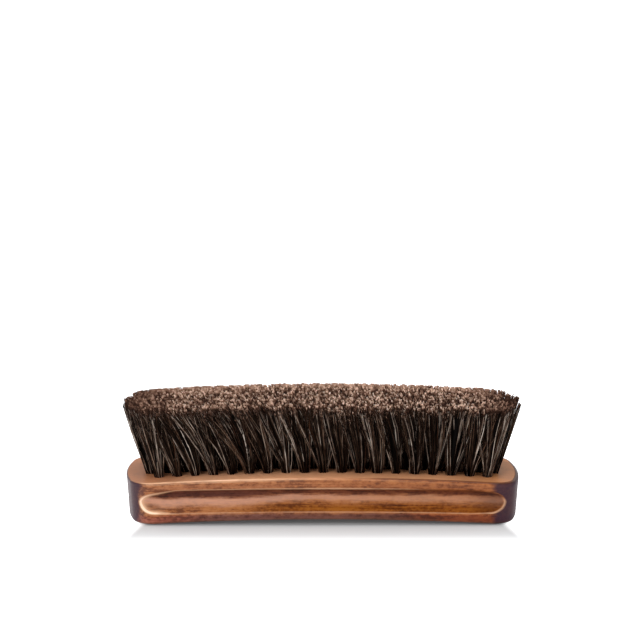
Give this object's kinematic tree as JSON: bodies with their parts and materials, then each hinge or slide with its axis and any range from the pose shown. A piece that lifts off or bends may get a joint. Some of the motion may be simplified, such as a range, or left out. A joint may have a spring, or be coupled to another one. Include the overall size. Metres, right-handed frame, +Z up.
{
  "type": "shoe shine brush",
  "caption": "Shoe shine brush: a palm-hollowed wooden block with a finger cove down each side and a dense, fanned and crowned field of trimmed dark horsehair tufts.",
  "frame": {"origin": "on the table under the middle of the block, which lies on its back", "axes": "+X along the block, +Y across it, +Z up from the back through the hair"},
  "size_m": [0.17, 0.05, 0.0514],
  "materials": {
    "wood": "reddish brown stain under a satin lacquer, darker at the ends, worn pale along the arrises",
    "horsehair": "dark brown natural horsehair with lighter taupe cut ends",
    "anchor_wire": "plain drawn flat wire"
  },
  "bodies": {
    "root": {"wood_block": "wood", "tufts_rank_01": "horsehair", "tufts_rank_02": "horsehair", "tufts_rank_03": "horsehair", "tufts_rank_04": "horsehair", "tufts_rank_05": "horsehair", "tufts_rank_06": "horsehair", "tufts_rank_07": "horsehair", "tufts_rank_08": "horsehair", "tufts_rank_09": "horsehair", "tufts_rank_10": "horsehair", "tufts_rank_11": "horsehair", "tufts_rank_12": "horsehair", "tufts_rank_13": "horsehair", "tufts_rank_14": "horsehair", "tufts_rank_15": "horsehair", "tufts_rank_16": "horsehair", "tufts_rank_17": "horsehair", "tufts_rank_18": "horsehair", "tufts_rank_19": "horsehair", "tufts_rank_20": "horsehair", "tufts_rank_21": "horsehair", "tufts_rank_22": "horsehair", "tufts_rank_23": "horsehair", "tufts_rank_24": "horsehair", "tufts_rank_25": "horsehair", "tufts_rank_26": "horsehair", "tufts_rank_27": "horsehair", "tufts_rank_28": "horsehair", "tufts_rank_29": "horsehair", "tufts_rank_30": "horsehair", "tufts_rank_31": "horsehair", "tufts_rank_32": "horsehair", "tufts_rank_33": "horsehair", "tufts_rank_34": "horsehair", "tufts_rank_35": "horsehair", "tufts_rank_36": "horsehair", "tufts_rank_37": "horsehair", "tufts_rank_38": "horsehair", "tufts_rank_39": "horsehair", "anchors_row_1": "anchor_wire", "anchors_row_2": "anchor_wire", "anchors_row_3": "anchor_wire", "anchors_row_4": "anchor_wire", "anchors_row_5": "anchor_wire"}
  },
  "joints": []
}
